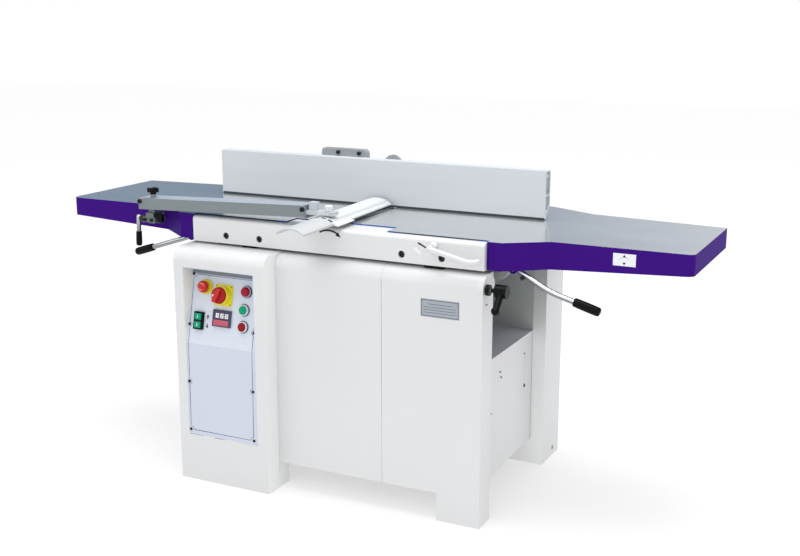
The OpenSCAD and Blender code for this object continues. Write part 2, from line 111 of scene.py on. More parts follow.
def masked(name, low, high, z_level, faces_up=True):
    """low everywhere, high on upward faces above z_level (object space, metres)"""
    m = bpy.data.materials.new(name)
    m.use_nodes = True
    t = m.node_tree
    out = t.nodes["Material Output"]
    t.nodes.remove(t.nodes["Principled BSDF"])

    def shader(spec):
        b = t.nodes.new("ShaderNodeBsdfPrincipled")
        b.inputs["Base Color"].default_value = spec["colour"]
        b.inputs["Roughness"].default_value = spec["rough"]
        b.inputs["Metallic"].default_value = spec.get("metal", 0.0)
        b.inputs["Coat Weight"].default_value = spec.get("coat", 0.0)
        b.inputs["Specular IOR Level"].default_value = spec.get("spec", 0.5)
        return b

    tc = t.nodes.new("ShaderNodeTexCoord")
    a, c = shader(low), shader(high)
    # fine grinding lines along the ground top
    mp = t.nodes.new("ShaderNodeMapping")
    mp.inputs["Scale"].default_value = high.get("lines", (6.0, 900.0, 6.0))
    t.links.new(tc.outputs["Object"], mp.inputs["Vector"])
    nz = t.nodes.new("ShaderNodeTexNoise")
    nz.inputs["Scale"].default_value = 1.0
    nz.inputs["Detail"].default_value = 3.0
    t.links.new(mp.outputs["Vector"], nz.inputs["Vector"])
    cl = t.nodes.new("ShaderNodeMapping")
    cl.inputs["Scale"].default_value = (3.0, 5.0, 3.0)
    t.links.new(tc.outputs["Object"], cl.inputs["Vector"])
    n2 = t.nodes.new("ShaderNodeTexNoise")
    n2.inputs["Scale"].default_value = 1.0
    n2.inputs["Detail"].default_value = 4.0
    t.links.new(cl.outputs["Vector"], n2.inputs["Vector"])
    add = t.nodes.new("ShaderNodeMath")
    add.operation = "ADD"
    t.links.new(nz.outputs["Fac"], add.inputs[0])
    t.links.new(n2.outputs["Fac"], add.inputs[1])
    mr = t.nodes.new("ShaderNodeMapRange")
    mr.inputs["From Min"].default_value = 0.6
    mr.inputs["From Max"].default_value = 1.4
    mr.inputs["To Min"].default_value = 0.88
    mr.inputs["To Max"].default_value = 1.12
    t.links.new(add.outputs["Value"], mr.inputs["Value"])
    sc = t.nodes.new("ShaderNodeVectorMath")
    sc.operation = "SCALE"
    sc.inputs[0].default_value = high["colour"][:3]
    t.links.new(mr.outputs["Result"], sc.inputs["Scale"])
    t.links.new(sc.outputs["Vector"], c.inputs["Base Color"])
    bp = t.nodes.new("ShaderNodeBump")
    bp.inputs["Strength"].default_value = 0.05
    bp.inputs["Distance"].default_value = 0.0003
    t.links.new(nz.outputs["Fac"], bp.inputs["Height"])
    t.links.new(bp.outputs["Normal"], c.inputs["Normal"])
    sep = t.nodes.new("ShaderNodeSeparateXYZ")
    t.links.new(tc.outputs["Object"], sep.inputs["Vector"])
    above = t.nodes.new("ShaderNodeMath")
    above.operation = "GREATER_THAN"
    above.inputs[1].default_value = z_level
    t.links.new(sep.outputs["Z"], above.inputs[0])
    fac = above
    if faces_up:
        sn = t.nodes.new("ShaderNodeSeparateXYZ")
        t.links.new(tc.outputs["Normal"], sn.inputs["Vector"])
        up = t.nodes.new("ShaderNodeMath")
        up.operation = "GREATER_THAN"
        up.inputs[1].default_value = 0.35
        t.links.new(sn.outputs["Z"], up.inputs[0])
        fac = t.nodes.new("ShaderNodeMath")
        fac.operation = "MULTIPLY"
        t.links.new(above.outputs["Value"], fac.inputs[0])
        t.links.new(up.outputs["Value"], fac.inputs[1])
    mix = t.nodes.new("ShaderNodeMixShader")
    t.links.new(fac.outputs["Value"], mix.inputs["Fac"])
    t.links.new(a.outputs["BSDF"], mix.inputs[1])
    t.links.new(c.outputs["BSDF"], mix.inputs[2])
    t.links.new(mix.outputs["Shader"], out.inputs["Surface"])
    return m


def painted_reflection_metal(name, stops, rough=0.14):
    """bright metal whose base colour is set in light and dark bands by the way a face looks up or down: painted
    reflections of a workshop
    """
    m = bpy.data.materials.new(name)
    m.use_nodes = True
    t = m.node_tree
    b = t.nodes["Principled BSDF"]
    b.inputs["Metallic"].default_value = 0.85
    b.inputs["Roughness"].default_value = rough
    tc = t.nodes.new("ShaderNodeTexCoord")
    sep = t.nodes.new("ShaderNodeSeparateXYZ")
    t.links.new(tc.outputs["Normal"], sep.inputs["Vector"])
    mr = t.nodes.new("ShaderNodeMapRange")
    mr.inputs["From Min"].default_value = -1.0
    mr.inputs["From Max"].default_value = 1.0
    t.links.new(sep.outputs["Z"], mr.inputs["Value"])
    cr = t.nodes.new("ShaderNodeValToRGB")
    e = cr.color_ramp.elements
    e[0].position, e[0].color = stops[0]
    e[1].position, e[1].color = stops[-1]
    for pos, col in stops[1:-1]:
        n = e.new(pos)
        n.color = col
    t.links.new(mr.outputs["Result"], cr.inputs["Fac"])
    t.links.new(cr.outputs["Color"], b.inputs["Base Color"])
    return m


def facing_tone_and_painted_light(m, axis, colour, lo=0.55, hi=0.9):
    """a second colour on the faces that look along axis: painted light on the pillar's side, the posts' fronts and the
    arm's top; on the panel's recess walls partly their own white coat, partly painted light
    """
    t = m.node_tree
    b = t.nodes["Principled BSDF"]
    tc = t.nodes.new("ShaderNodeTexCoord")
    d = t.nodes.new("ShaderNodeVectorMath")
    d.operation = "DOT_PRODUCT"
    d.inputs[1].default_value = axis
    t.links.new(tc.outputs["Normal"], d.inputs[0])
    mr = t.nodes.new("ShaderNodeMapRange")
    mr.inputs["From Min"].default_value = lo
    mr.inputs["From Max"].default_value = hi
    t.links.new(d.outputs["Value"], mr.inputs["Value"])
    mx = t.nodes.new("ShaderNodeMix")
    mx.data_type = "RGBA"
    t.links.new(mr.outputs["Result"], mx.inputs[0])
    base = b.inputs["Base Color"]
    if base.is_linked:
        t.links.new(base.links[0].from_socket, mx.inputs[6])
    else:
        mx.inputs[6].default_value = base.default_value
    mx.inputs[7].default_value = colour
    t.links.new(mx.outputs[2], base)
    return m


def painted_shade_above(m, z0, z1, shade):
    """painted shade: the coat of m is darkened from height z0 to z1 on faces that look to -y, standing in for the shade
    of a table above them
    """
    t = m.node_tree
    base = t.nodes["Principled BSDF"].inputs["Base Color"]
    geo = t.nodes.new("ShaderNodeNewGeometry")
    sep = t.nodes.new("ShaderNodeSeparateXYZ")
    t.links.new(geo.outputs["Position"], sep.inputs["Vector"])
    mr = t.nodes.new("ShaderNodeMapRange")
    mr.inputs["From Min"].default_value = z0
    mr.inputs["From Max"].default_value = z1
    t.links.new(sep.outputs["Z"], mr.inputs["Value"])
    face = t.nodes.new("ShaderNodeSeparateXYZ")
    t.links.new(geo.outputs["Normal"], face.inputs["Vector"])
    front = t.nodes.new("ShaderNodeMath")
    front.operation = "LESS_THAN"
    front.inputs[1].default_value = -0.7
    t.links.new(face.outputs["Y"], front.inputs[0])
    fac = t.nodes.new("ShaderNodeMath")
    fac.operation = "MULTIPLY"
    t.links.new(mr.outputs["Result"], fac.inputs[0])
    t.links.new(front.outputs["Value"], fac.inputs[1])
    mx = t.nodes.new("ShaderNodeMix")
    mx.data_type = "RGBA"
    t.links.new(fac.outputs["Value"], mx.inputs[0])
    t.links.new(base.links[0].from_socket, mx.inputs[6])
    mx.inputs[7].default_value = shade
    t.links.new(mx.outputs[2], base)
    return m


PEEL = ((450.0, 450.0, 450.0), 0.04)
white = material("white_coat", srgb(213, 214, 215), 0.34, coat=0.15, grain=PEEL, mottle=((3, 3, 3), 0.012, 0.08))
# painted light: the pillar's faces that look to +x are made lighter, standing in for light falling on that side
pillar_white_painted_side_light = facing_tone_and_painted_light(material("pillar_coat_painted_side_light", srgb(212, 213, 214), 0.34, coat=0.15, grain=PEEL, mottle=((3, 3, 3), 0.012, 0.08)), (1, 0, 0), srgb(236, 237, 237))
# painted light and shade: the posts' faces that look to -y are made lighter, standing in for light on them, and are
# darkened above 0.42 m as painted shade of the table
post_white_painted_light_shade = facing_tone_and_painted_light(material("post_coat_painted_light_shade", srgb(210, 211, 212), 0.36, coat=0.1, grain=PEEL, mottle=((3, 3, 3), 0.012, 0.08)), (0, -1, 0), srgb(246, 247, 246))
painted_shade_above(post_white_painted_light_shade, 0.42, 0.8, srgb(172, 177, 170))
# painted shade: the inner walls get a coat darker than the cabinet's white, standing in for the shade inside the
# cabinet
inner_white_painted_shade = material("inner_coat_painted_shade", srgb(180, 187, 182), 0.5, grain=PEEL, mottle=((4, 4, 4), 0.03, 0.1))
# painted light: the deck inside the cabinet gets a coat lighter than the cabinet's white, standing in for light on it
deck_white_painted_light = material("deck_coat_painted_light", srgb(249, 253, 248), 0.5, grain=PEEL, mottle=((4, 4, 4), 0.02, 0.1))
violet_spec = {"colour": srgb(57, 14, 120), "rough": 0.6, "coat": 0.0, "spec": 0.05}
ground_spec = {"colour": srgb(204, 206, 209), "rough": 0.17, "metal": 0.74}
table_mat = masked("table_finish", violet_spec, ground_spec, 0.8475)
outfeed_mat = masked("outfeed_table_finish", violet_spec, {"colour": srgb(204, 206, 209), "rough": 0.17, "metal": 0.74}, 0.8475)
thick_mat = masked("thick_table_finish", {"colour": srgb(120, 122, 122), "rough": 0.6, "metal": 0.3}, {"colour": srgb(126, 138, 152), "rough": 0.4, "metal": 0.45}, 0.6385)
violet = material("violet_coat", violet_spec["colour"], 0.55, spec=0.06, grain=PEEL)
anodised = material("anodised", srgb(203, 208, 213), 0.4, metal=0.06, grain=((8.0, 700.0, 700.0), 0.03), mottle=((2, 30, 30), 0.02, 0.1))
# painted light: the arm's upward faces are made lighter, standing in for light from above
arm_grey_painted_top_light = facing_tone_and_painted_light(material("arm_alloy_painted_top_light", srgb(123, 132, 135), 0.42, metal=0.35, grain=((8.0, 700.0, 700.0), 0.04), mottle=((2, 30, 30), 0.03, 0.1)), (0, 0, 1), srgb(170, 179, 190))
alloy = material("cast_alloy", srgb(150, 155, 159), 0.45, metal=0.5, grain=((260, 260, 260), 0.08))
dark_alloy = material("dark_alloy", srgb(104, 112, 114), 0.4, metal=0.6, grain=((260, 260, 260), 0.06))
# painted reflection: light and dark reflection bands are painted into this metal's colour
chrome_painted_reflection = painted_reflection_metal("chrome_painted_reflection", ((0.0, srgb(96, 100, 104)), (0.3, srgb(168, 172, 176)), (0.46, srgb(74, 78, 82)), (0.58, srgb(206, 210, 214)), (0.8, srgb(232, 235, 238)), (1.0, srgb(150, 156, 160))))
steel = material("machined_steel", srgb(172, 176, 180), 0.28, metal=0.95, mottle=((20, 200, 20), 0.05, 0.2))
dark_steel = material("oiled_steel", srgb(92, 94, 96), 0.35, metal=0.9, mottle=((60, 60, 60), 0.1, 0.2))
black = material("black_plastic", srgb(9, 10, 11), 0.36, spec=0.11, grain=((700, 700, 700), 0.05))
black_rubber = material("black_rubber", srgb(9, 10, 10), 0.32, spec=0.1, grain=((500, 500, 500), 0.08))
# black for screws and small parts, and as painted shade in the gaps beside the front rail
black_parts_and_painted_shade = material("black_parts_and_painted_shade_mat", srgb(16, 17, 20), 0.35, metal=0.3)
guard_white = material("guard_white", srgb(206, 209, 211), 0.4, grain=((300, 300, 300), 0.02))
guard_grey = material("guard_nose_grey", srgb(187, 190, 192), 0.42, grain=((300, 300, 300), 0.02))
plastic_white = material("white_plastic", srgb(228, 229, 230), 0.35)
holder_grey = material("holder_grey", srgb(184, 190, 197), 0.42)
casting = material("grey_casting", srgb(168, 170, 164), 0.55, grain=((200, 200, 200), 0.12), mottle=((8, 8, 8), 0.04, 0.1))
# the recess walls that look to +x get a whiter tone: partly the walls' own white coat, partly painted light as on the
# pillar's side
film_up_and_painted_wall_light = facing_tone_and_painted_light(material("film_upper", srgb(206, 213, 225), 0.38), (1, 0, 0), srgb(240, 239, 234))
film_low = material("film_lower", srgb(197, 203, 216), 0.4)
film_line = material("film_line", srgb(60, 78, 132), 0.45)
# painted shadow: grey for the band of shade that the recess's top edge casts on the panel
panel_top_painted_shadow = material("panel_top_painted_shadow", srgb(124, 131, 139), 0.5)
yellow = material("yellow_plastic", srgb(228, 214, 20), 0.35, coat=0.1)
red = material("red_plastic", srgb(186, 26, 28), 0.34, coat=0.1, spec=0.35)
red_dark = material("dark_red_plastic", srgb(138, 14, 32), 0.38, spec=0.16)
switch_red = material("switch_red", srgb(160, 24, 26), 0.36, spec=0.2)
green = material("green_plastic", srgb(0, 150, 112), 0.34, spec=0.18)
lens = material("red_lens", srgb(152, 8, 38), 0.2, coat=0.15, spec=0.2)
bezel_white = material("bezel_white", srgb(216, 219, 224), 0.35)
dark_trim_and_painted_shadow = material("dark_trim_and_painted_shadow", srgb(44, 50, 74), 0.35, metal=0.3)
# dark trim and print; on the push buttons also a ring of painted shadow
frame_dark = material("readout_frame", srgb(58, 52, 84), 0.4)
window = material("readout_window", srgb(232, 233, 238), 0.3)
pink = material("readout_field", srgb(186, 84, 104), 0.4)
ink = material("ink", srgb(20, 21, 26), 0.5, spec=0.2)
grey_plate = material("grey_plate", srgb(158, 164, 171), 0.4, metal=0.3, mottle=((60, 400, 400), 0.03, 0.1))
edge_blue = material("painted_edge", srgb(48, 98, 176), 0.5, spec=0.1)
# a darker tone for the middle stretches of the tables' painted edges
edge_dark = material("edge_darker_stretch", srgb(74, 86, 98), 0.5, spec=0.1)
# painted shadow: dark grey for the shade in the gap under the fence
fence_foot_shadow_grey = material("fence_foot_painted_shadow", srgb(58, 68, 72), 0.5, spec=0.2)
cap_grey = material("fence_cap_grey", srgb(146, 154, 161), 0.5)
label_white = material("label_white", srgb(226, 228, 233), 0.4)
label_red = material("label_red", srgb(182, 60, 60), 0.5)
motor_mat = material("motor_grey", srgb(120, 126, 130), 0.5, metal=0.3, grain=((200, 200, 200), 0.08))


# ---- mesh helpers (millimetres in, metres out) ------------------------------
def piece(name, verts, faces, mat, body, bevel=0.0, smooth=True, seg=2, angle=35.0, matrix=None):
    me = bpy.data.meshes.new(name)
    pts = [Vector(v) for v in verts]
    if matrix is not None:
        pts = [matrix @ p for p in pts]
    me.from_pydata([p * MM for p in pts], [], faces)
    me.validate()
    me.update()
    o = bpy.data.objects.new(name, me)
    bpy.context.scene.collection.objects.link(o)
    me.materials.append(mat)
    me.polygons.foreach_set("use_smooth", [smooth] * len(me.polygons))
    if bevel > 0:
        b = o.modifiers.new("bevel", "BEVEL")
        b.width = bevel * MM
        b.segments = seg
        b.limit_method = "ANGLE"
        b.angle_limit = math.radians(angle)
        b.harden_normals = True
    if smooth:
        me.set_sharp_from_angle(angle=math.radians(angle))
    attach(o, body)
    return o


def block(name, x0, x1, y0, y1, z0, z1, mat, body, bevel=0.6, seg=2, matrix=None):
    v = [(x, y, z) for x in (x0, x1) for y in (y0, y1) for z in (z0, z1)]
    f = [(0, 1, 3, 2), (4, 6, 7, 5), (0, 4, 5, 1), (2, 3, 7, 6), (0, 2, 6, 4), (1, 5, 7, 3)]
    return piece(name, v, f, mat, body, bevel, True, seg, matrix=matrix)


def align(direction):
    """matrix that turns +Z onto direction"""
    return Vector(direction).to_track_quat("Z", "Y").to_matrix().to_4x4()


def lathe(name, profile, at, direction, mat, body, n=56, matrix=None, angle=30.0):
    """profile of (r, h) points turned about an axis through at"""
    m = Matrix.Translation(Vector(at)) @ align(direction)
    if matrix is not None:
        m = matrix @ m
    verts, faces, rings = [], [], []
    for r, h in profile:
        if r < 1e-6:
            rings.append([len(verts)])
            verts.append((0, 0, h))
        else:
            rings.append(list(range(len(verts), len(verts) + n)))
            verts += [(r * math.cos(2 * math.pi * i / n), r * math.sin(2 * math.pi * i / n), h) for i in range(n)]
    for a, b in zip(rings, rings[1:]):
        for i in range(n):
            j = (i + 1) % n
            if len(a) == 1 and len(b) == 1:
                continue
            if len(a) == 1:
                faces.append((a[0], b[j], b[i]))
            elif len(b) == 1:
                faces.append((a[i], a[j], b[0]))
            else:
                faces.append((a[i], a[j], b[j], b[i]))
    return piece(name, verts, faces, mat, body, matrix=m, angle=angle)


def disc(name, r, h, at, direction, mat, body, edge=0.4, n=48, matrix=None):
    e = min(edge, r * 0.4, h * 0.45)
    return lathe(name, [(0, 0), (r, 0), (r, h - e), (r - 0.3 * e, h - 0.3 * e), (r - e, h), (0, h)], at, direction, mat, body, n, matrix)


def ring(name, r0, r1, h, at, direction, mat, body, edge=0.5, n=56, matrix=None):
    e = min(edge, (r1 - r0) * 0.3)
    return lathe(name, [(r0, 0), (r1, 0), (r1, h - e), (r1 - e, h), (r0 + e, h), (r0, h - e), (r0, 0)], at, direction, mat, body, n, matrix)


def filleted(points, radius, steps=8):
    pts = [Vector(p) for p in points]
    out = [pts[0]]
    for a, b, c in zip(pts, pts[1:], pts[2:]):
        u, v = (a - b), (c - b)
        d = min(radius, u.length * 0.45, v.length * 0.45)
        p, q = b + u.normalized() * d, b + v.normalized() * d
        for i in range(steps + 1):
            s = i / steps
            out.append((1 - s) ** 2 * p + 2 * s * (1 - s) * b + s * s * q)
    out.append(pts[-1])
    return out


def tube(name, points, r, mat, body, fillet=20.0, n=24, round_end=True):
    pts = filleted(points, fillet)
    verts, faces, rings = [], [], []
    prev_x = None

    def add_ring(c, tangent, rad):
        nonlocal prev_x
        t = tangent.normalized()
        if prev_x is None:
            ref = Vector((0, 0, 1)) if abs(t.z) < 0.9 else Vector((1, 0, 0))
            x = t.cross(ref).normalized()
        else:
            x = (prev_x - t * prev_x.dot(t)).normalized()
        prev_x = x
        y = t.cross(x)
        rings.append(list(range(len(verts), len(verts) + n)))
        for i in range(n):
            a = 2 * math.pi * i / n
            verts.append(c + (x * math.cos(a) + y * math.sin(a)) * rad)

    tans = []
    for i in range(len(pts)):
        a = pts[max(0, i - 1)]
        b = pts[min(len(pts) - 1, i + 1)]
        tans.append((b - a).normalized())
    if round_end:
        for k in range(5):
            a = math.radians(85 - 85 * k / 5)
            add_ring(pts[0] - tans[0] * r * math.sin(a), tans[0], r * math.cos(a))
    for p, t in zip(pts, tans):
        add_ring(p, t, r)
    if round_end:
        for k in range(1, 6):
            a = math.radians(85 * k / 5)
            add_ring(pts[-1] + tans[-1] * r * math.sin(a), tans[-1], r * math.cos(a))
    for a, b in zip(rings, rings[1:]):
        for i in range(n):
            j = (i + 1) % n
            faces.append((a[i], a[j], b[j], b[i]))
    faces.append(tuple(reversed(rings[0])))
    faces.append(tuple(rings[-1]))
    return piece(name, verts, faces, mat, body, angle=60)


def extrude(name, outline, place, a0, a1, mat, body, bevel=0.0, seg=2, angle=35.0):
    """outline of 2D points run from a0 to a1; place(u, v, w) gives the 3D point"""
    n = len(outline)
    verts = [place(u, v, a0) for u, v in outline] + [place(u, v, a1) for u, v in outline]
    faces = [tuple(range(n - 1, -1, -1)), tuple(range(n, 2 * n))]
    faces += [(i, (i + 1) % n, n + (i + 1) % n, n + i) for i in range(n)]
    o = piece(name, verts, faces, mat, body, bevel, True, seg, angle)
    me = o.data
    bm = bmesh.new()
    bm.from_mesh(me)
    bmesh.ops.recalc_face_normals(bm, faces=bm.faces)
    bm.to_mesh(me)
    bm.free()
    return o


def arc(cx, cy, r, a0, a1, n=12):
    return [(cx + r * math.cos(math.radians(a0 + (a1 - a0) * i / n)), cy + r * math.sin(math.radians(a0 + (a1 - a0) * i / n))) for i in range(n + 1)]


def dress(node, mat, bevel=1.0, seg=2, angle=32.0, planar=True):
    o = N[node]
    o.data.materials.clear()
    o.data.materials.append(mat)
    if bevel > 0:
        w = o.modifiers.new("weld", "WELD")
        w.merge_threshold = 2e-6
        if planar:
            d = o.modifiers.new("planar", "DECIMATE")
            d.decimate_type = "DISSOLVE"
            d.angle_limit = math.radians(0.6)
        b = o.modifiers.new("bevel", "BEVEL")
        b.width = bevel * MM
        b.segments = seg
        b.limit_method = "ANGLE"
        b.angle_limit = math.radians(angle)
        b.use_clamp_overlap = True
        n = o.modifiers.new("normals", "WEIGHTED_NORMAL")
        n.weight = 80
    return o


# ---- CAD nodes: finishes ----------------------------------------------------
dress("control_pillar", pillar_white_painted_side_light, 1.2)
dress("rear_posts", post_white_painted_light_shade, 1.2)
for n, b in (("front_panel", 1.2), ("right_front_panel", 1.2), ("rear_panel", 1.0),
             ("front_rail", 1.6), ("rear_rail", 1.2), ("dust_outlet", 0.6), ("side_panels", 0.9)):
    dress(n, white, b)
dress("inner_deck", deck_white_painted_light, 0.9)
for n in ("front_cheek", "rear_cheek"):
    dress(n, inner_white_painted_shade, 1.2)
dress("lift_sleeve", casting, 1.0)
dress("infeed_braces", inner_white_painted_shade, 1.5)
dress("infeed_table", table_mat, 1.2)
dress("outfeed_table", outfeed_mat, 1.2)
dress("thickness_table", thick_mat, 1.0)
for n in ("cutterblock", "knives", "cutterblock_bearings", "infeed_roller", "outfeed_roller", "lift_screw", "hinge_pins", "hinge_brackets"):
    dress(n, steel, 0.5)
for n in ("cutterblock_pulley", "motor_pulley", "feed_sprocket", "feed_chains", "kickback_fingers"):
    dress(n, dark_steel, 0.5)
dress("motor", motor_mat, 1.5)
dress("drive_belts", black_rubber, 0.6)
dress("rest_pads", black_rubber, 1.0)
dress("fence", anodised, 0.8, planar=False)
dress("fence_backplate", alloy, 2.0)
dress("fence_carriage", alloy, 1.5)
dress("guard_arm", arm_grey_painted_top_light, 0.8)
dress("guard_bracket", dark_alloy, 2.0)
dress("guard_holder", holder_grey, 1.5)
dress("guard_bridge", guard_white, 0.5)
dress("guard_star_knob", black, 1.2)
dress("guard_crank", chrome_painted_reflection, 0.6)
dress("left_lock_lever", chrome_painted_reflection, 0.5)
dress("right_lock_lever", chrome_painted_reflection, 0.5)
dress("left_lever_grip", black_rubber, 1.5)
dress("right_lever_grip", black_rubber, 1.5)
dress("depth_lever", white, 0.0)
dress("lock_lever", black, 1.5)
dress("control_panel", film_up_and_painted_wall_light, 0.0)
dress("control_backplates", yellow, 1.0)
dress("button_bezels", bezel_white, 0.8)
dress("indicator_lamp", lens, 0.5)
dress("lift_switch_frame", black, 1.0, planar=False)
dress("thickness_readout", frame_dark, 1.5)
dress("estop_button", red, 2.0)
dress("main_switch_knob", red, 1.5)
dress("start_button", green, 1.0)
dress("stop_button", red_dark, 1.0)
dress("up_button", green, 1.0)
dress("down_button", green, 1.0)

# ---- control panel ------------------------------------------------------------
LEAN = math.atan(52 / 241)
LOW = math.atan(4 / 303)
OUT = (0, -1, 0)


def on_plate(x, t):
    return Matrix.Translation((x, -396, 456)) @ Matrix.Rotation(-LEAN, 4, "X") @ Matrix.Translation((0, 0, t))


def on_low(x, t):
    return Matrix.Translation((x, -400, 153)) @ Matrix.Rotation(-LOW, 4, "X") @ Matrix.Translation((0, 0, t))


def strip(name, pts, width, place, mat, body, lift=0.25):
    """flat printed line through (u, v) points; place(u, v, n) gives the 3D point at height n above the face"""
    verts, faces = [], []
    n = len(pts)
    for i, p in enumerate(pts):
        a, b = Vector(pts[max(0, i - 1)]), Vector(pts[min(n - 1, i + 1)])
        d = (b - a).normalized()
        s = Vector((-d.y, d.x)) * width / 2
        if 0 < i < n - 1:
            d1 = (Vector(p) - a).normalized()
            s *= min(1.6, 1 / max(0.6, abs(d1.dot(d))))
        for q in (Vector(p) + s, Vector(p) - s):
            verts.append(place(q.x, q.y, lift))
    for i in range(n - 1):
        faces.append((2 * i, 2 * i + 1, 2 * i + 3, 2 * i + 2))
    o = piece(name, verts, faces, mat, body, smooth=False)
    m = o.modifiers.new("body", "SOLIDIFY")
    m.thickness = 0.2 * MM
    m.offset = 0
    return o


def plate_place(u, v, n):
    return on_plate(u, v) @ Vector((0, -n, 0))


def low_place(u, v, n):
    return on_low(u, v) @ Vector((0, -n, 0))


block("panel_film_lower", -479.5, -222.5, -0.35, 0.1, 1, 302.4, film_low, "cabinet", 0.0, matrix=Matrix.Translation((0, -400, 153)) @ Matrix.Rotation(-LOW, 4, "X"))
XL, XR = -474, -236.5


def notch(x, t, side, r=8.0):
    return [(x + side * r * math.sin(math.radians(a)), t - r * math.cos(math.radians(a))) for a in range(0, 181, 15)]


def corner(x, t, sx, st, r=11.0):
    pts = []
    for a in range(0, 91, 10):
        pts.append((x + sx * r * math.sin(math.radians(a)), t + st * r * math.cos(math.radians(a))))
    return pts


top_t, mid_t = 218.0, 58.5
up = [(XL, 0.5)] + notch(XL, mid_t, 1) + corner(XL, top_t, 1, -1) + list(reversed(corner(XR, top_t, -1, -1))) + list(reversed(notch(XR, mid_t, -1))) + [(XR, 0.5)]
strip("panel_border_upper", up, 1.3, plate_place, film_line, "cabinet")
low_t, bot_t = 175.0, 15.0
dn = [(XL, 302)] + list(reversed(notch(XL, low_t, 1))) + corner(XL, bot_t, 1, 1) + list(reversed(corner(XR, bot_t, -1, 1))) + notch(XR, low_t, -1) + [(XR, 302)]
strip("panel_border_lower", dn, 1.3, low_place, film_line, "cabinet", lift=0.55)
k = 0
# painted shadow: a grey strip at the top of the panel stands in for the shadow under the recess's top edge
block("panel_top_painted_shadow_strip", -479.5, -222.5, -0.5, 0.1, 221, 247, panel_top_painted_shadow, "cabinet", 0.0, matrix=on_plate(0, 0))
for x in (XL - 1, XR + 1):
    for t, pl in ((top_t, on_plate), (mid_t, on_plate), (low_t, on_low), (bot_t, on_low)):
        k += 1
        lathe(f"panel_screw_{k}", [(0, 0), (5.2, 0), (5.0, 1.0), (3.8, 2.2), (1.8, 2.6), (1.6, 1.4), (0, 1.4)], (0, 0, 0), OUT, black_parts_and_painted_shade, "cabinet", 24, matrix=pl(x, t))

# emergency stop: mushroom with two turn marks
es = on_plate(-423, 182)
o = lathe("estop_head", [(0, -9), (7.9, -9), (7.9, 15.4), (10.5, 15.6), (10.5, 16.5), (17.2, 17), (19, 18.6), (19.2, 21.5), (18.4, 25), (16, 28.6), (12.4, 31.2), (7.5, 32.7), (0, 33.3)], (0, 0, 0), OUT, red, "estop", 64, matrix=es, angle=40)
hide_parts("estop_button")
turn = material("turn_mark", srgb(240, 178, 150), 0.4)
for i, a0 in enumerate((20, 200)):
    pts = [(10.5 * math.cos(math.radians(a0 + s * 10)), 10.5 * math.sin(math.radians(a0 + s * 10))) for s in range(11)]
    strip(f"estop_turn_mark_{i + 1}", pts, 1.8, lambda u, v, n: es @ Vector((u, -(31.95 + n), v)), turn, "estop", lift=0.3)
ring("estop_collar_rim", 17.5, 22.6, 1.2, (0, -8, 0), OUT, yellow, "cabinet", 0.5, matrix=es)

# main switch: yellow plate, red handle with a diagonal grip and a lock hole
ms = on_plate(-356, 162)
o = lathe("main_switch_base", [(0, -8), (5, -8), (5, 4.6), (25.2, 4.6), (25.7, 6.5), (25.7, 31), (24.9, 33.8), (22.6, 35.3), (0, 35.6)], (0, 0, 0), OUT, switch_red, "main_switch", 64, matrix=ms, angle=40)
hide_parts("main_switch_knob")
ring("main_switch_collar", 26.1, 28.6, 24.5, (0, -3.5, 0), OUT, yellow, "cabinet", 1.0, matrix=ms)
g = ms @ Matrix.Rotation(math.radians(24), 4, "Y")
grip = [(-22, -6.2), (-16, -7), (0, -7.4), (16, -7), (20, -5.6), (22, 0), (20, 5.6), (16, 7), (0, 7.4), (-16, 7), (-22, 6.2), (-24, 0)]
extrude("main_switch_grip", grip, lambda u, v, w: g @ Vector((v, -w, u)), 34.8, 48.2, red, "main_switch", 1.6, 3)
lathe("main_switch_lock_hole", [(0, 0), (4.2, 0), (4.2, 0.5), (0, 0.6)], (-17.0, -35.3, -2), OUT, label_white, "main_switch", 24, matrix=ms)
for i, (dx, dz) in enumerate(((-27, -28), (27, -28), (-27, 28), (27, 28))):
    lathe(f"main_switch_plate_screw_{i + 1}", [(0, 0), (2.4, 0), (2.2, 0.7), (0, 0.9)], (dx, -4, dz), OUT, dark_steel, "cabinet", 20, matrix=ms)

# lamp and push buttons
lm = on_plate(-273, 181.5)
ring("lamp_rim", 15.9, 18.8, 6.5, (0, 0, 0), OUT, dark_trim_and_painted_shadow, "cabinet", 1.2, matrix=lm)
o = lathe("lamp_lens", [(0, 0), (15.0, 0), (15.6, 6), (15.4, 11), (14.0, 14.5), (10.7, 17.4), (5.7, 19.2), (0, 19.8)], (0, 0, 0), OUT, lens, "cabinet", 48, matrix=lm, angle=40)
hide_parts("indicator_lamp")
for nm, x, t, cap, body, node in (("start", -277, 124, green, "start", "start_button"), ("stop", -276, 72, red_dark, "stop", "stop_button")):
    mx = on_plate(x, t)
    # painted shadow: the dark ring outside each button's white collar stands in for the shadow round the bezel
    ring(f"{nm}_rim", 17.0, 19.4, 3.2, (0, 0, 0), OUT, dark_trim_and_painted_shadow, "cabinet", 0.8, matrix=mx)
    ring(f"{nm}_collar", 13.8, 17.2, 9.6, (0, 0, 0), OUT, bezel_white, "cabinet", 1.0, matrix=mx)
    o = lathe(f"{nm}_cap", [(0, -8), (13.4, -8), (13.4, 10.6), (12.9, 11.6), (11.6, 12.3), (0, 12.6)], (0, 0, 0), OUT, cap, body, 48, matrix=mx)
    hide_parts(node)

# lift switch: two green keys with a dark bar between, arrows beside it
lf = on_plate(-438.7, 74)
for nm, dz, body in (("up", 13, "lift_up"), ("down", -13, "lift_down")):
    block(f"{nm}_key_mark", -1.1, 1.1, -14.25, -13.9, dz - 5, dz + 5, label_white, body, 0.0, matrix=lf)
block("lift_switch_bar", -12, 12, -11.2, -9.8, -2.4, 2.4, black_parts_and_painted_shade, "cabinet", 0.3, matrix=lf)


